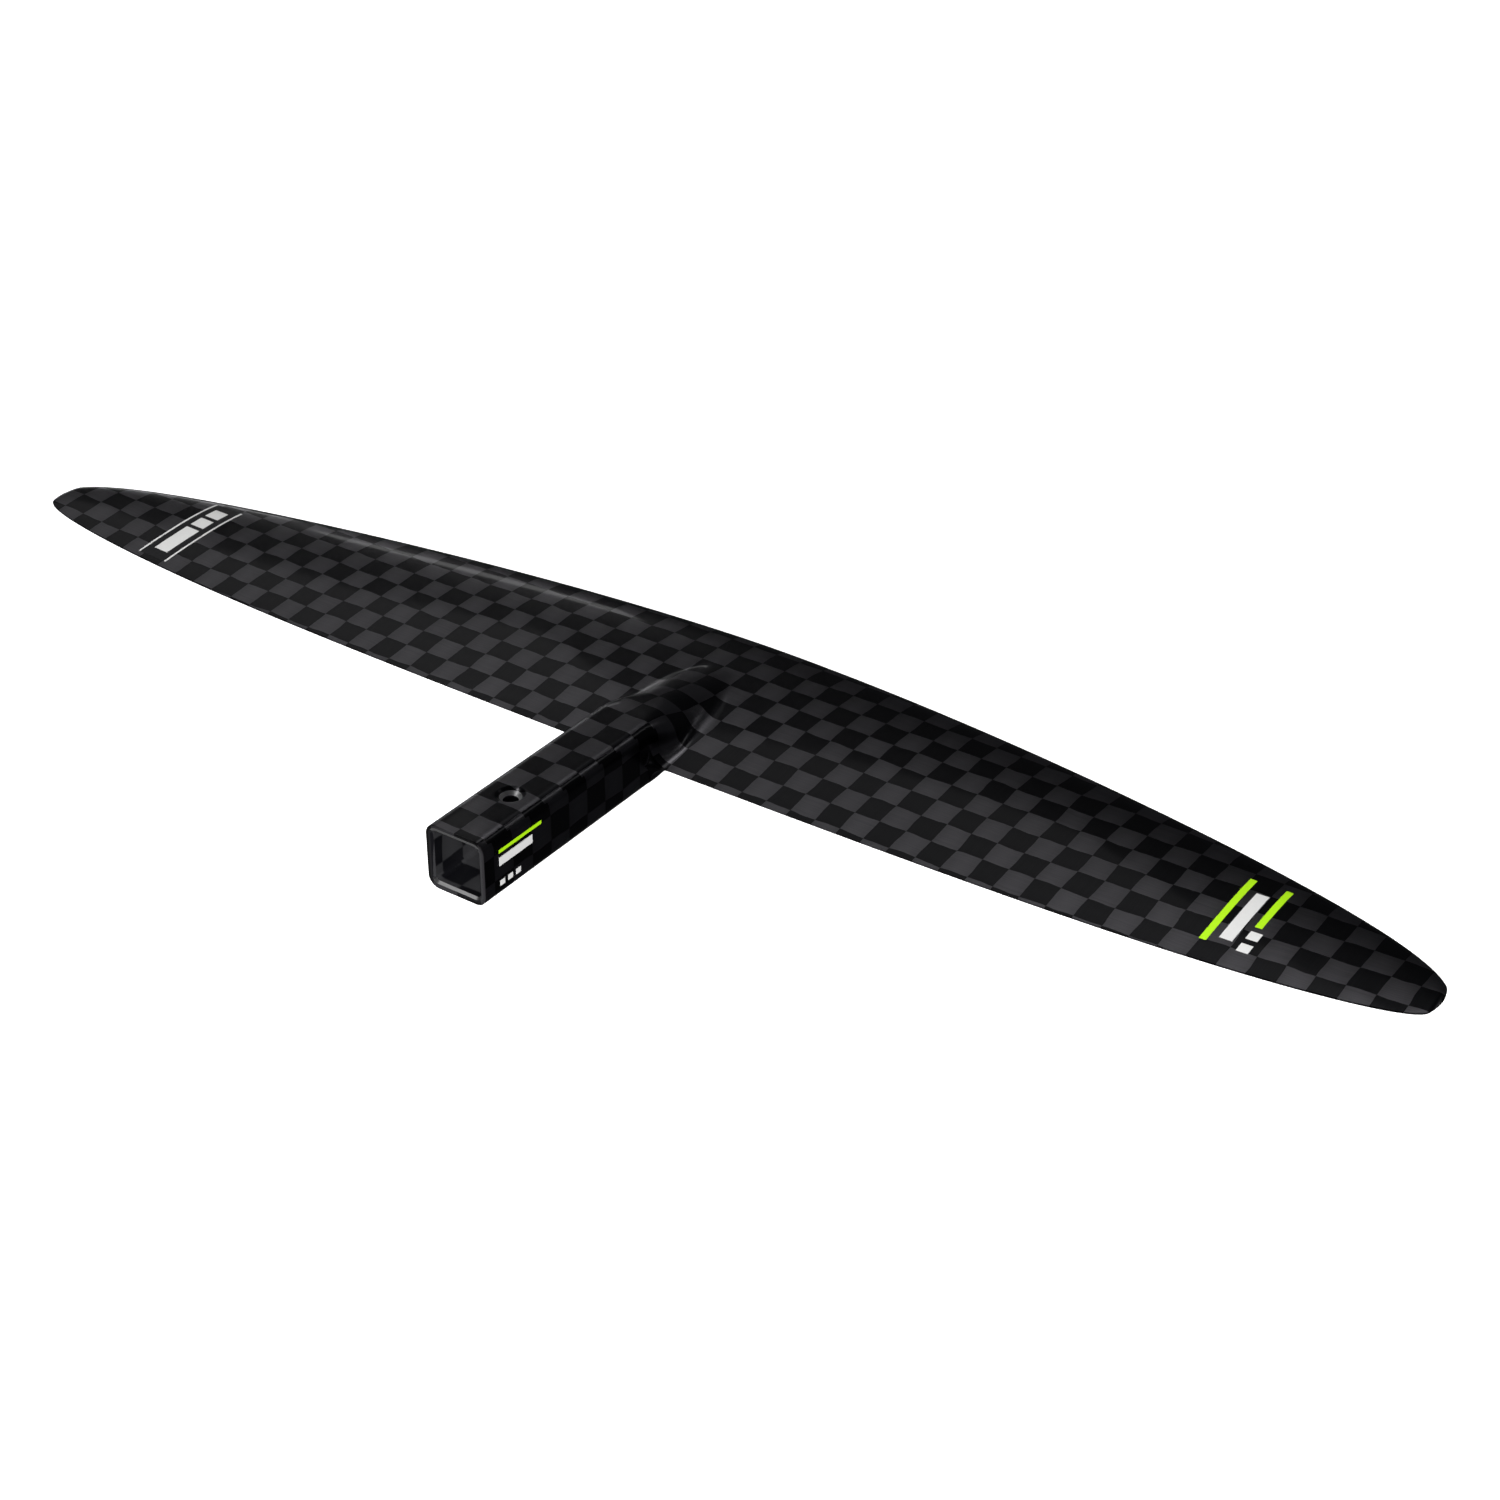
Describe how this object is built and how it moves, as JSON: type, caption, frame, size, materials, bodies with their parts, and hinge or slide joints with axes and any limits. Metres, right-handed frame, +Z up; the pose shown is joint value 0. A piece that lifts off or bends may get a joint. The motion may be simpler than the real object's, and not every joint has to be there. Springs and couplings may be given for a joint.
{
  "type": "hydrofoil front wing",
  "caption": "Carbon hydrofoil front wing with upturned tips and a square rear socket that takes the fuselage, held by one countersunk screw.",
  "frame": {"origin": "centre of the socket's mouth, on the socket's axis", "axes": "+Y forward along the socket to the leading edge, +X along the span to the right wing, +Z up"},
  "size_m": [0.7196, 0.2177, 0.0306],
  "materials": {
    "carbon_skin": "clear gloss lacquer over 12 mm spread-tow carbon checks",
    "carbon_sleeve": "moulded carbon, semi-gloss",
    "carbon_spar": "unidirectional carbon laminate, matt",
    "foam": "closed-cell foam",
    "balsa_web": "end-grain balsa, bare",
    "filler": "filled epoxy, matt",
    "print_black": "printed film under lacquer",
    "print_white": "printed film under lacquer",
    "print_lime": "printed film under lacquer"
  },
  "bodies": {
    "root": {"upper_skin": "carbon_skin", "lower_skin": "carbon_skin", "socket_sleeve": "carbon_sleeve", "socket_end_plug": "foam", "fairing_core_upper": "filler", "fairing_core_lower": "filler", "shear_web": "balsa_web", "spar_cap_upper": "carbon_spar", "spar_cap_lower": "carbon_spar", "tip_block_left": "filler", "tip_block_right": "filler", "tail_strip_left": "carbon_spar", "tail_strip_right": "carbon_spar", "rear_core_left": "foam", "rear_core_right": "foam", "front_core_left": "foam", "front_core_right": "foam", "nose_strip_left": "carbon_spar", "nose_strip_right": "carbon_spar", "band_black": "print_black", "band_lines_white": "print_white", "wing_bars_lime": "print_lime", "wing_bars_white": "print_white", "band_bars_white": "print_white", "socket_bar_lime": "print_lime", "socket_bars_white": "print_white"}
  },
  "joints": []
}
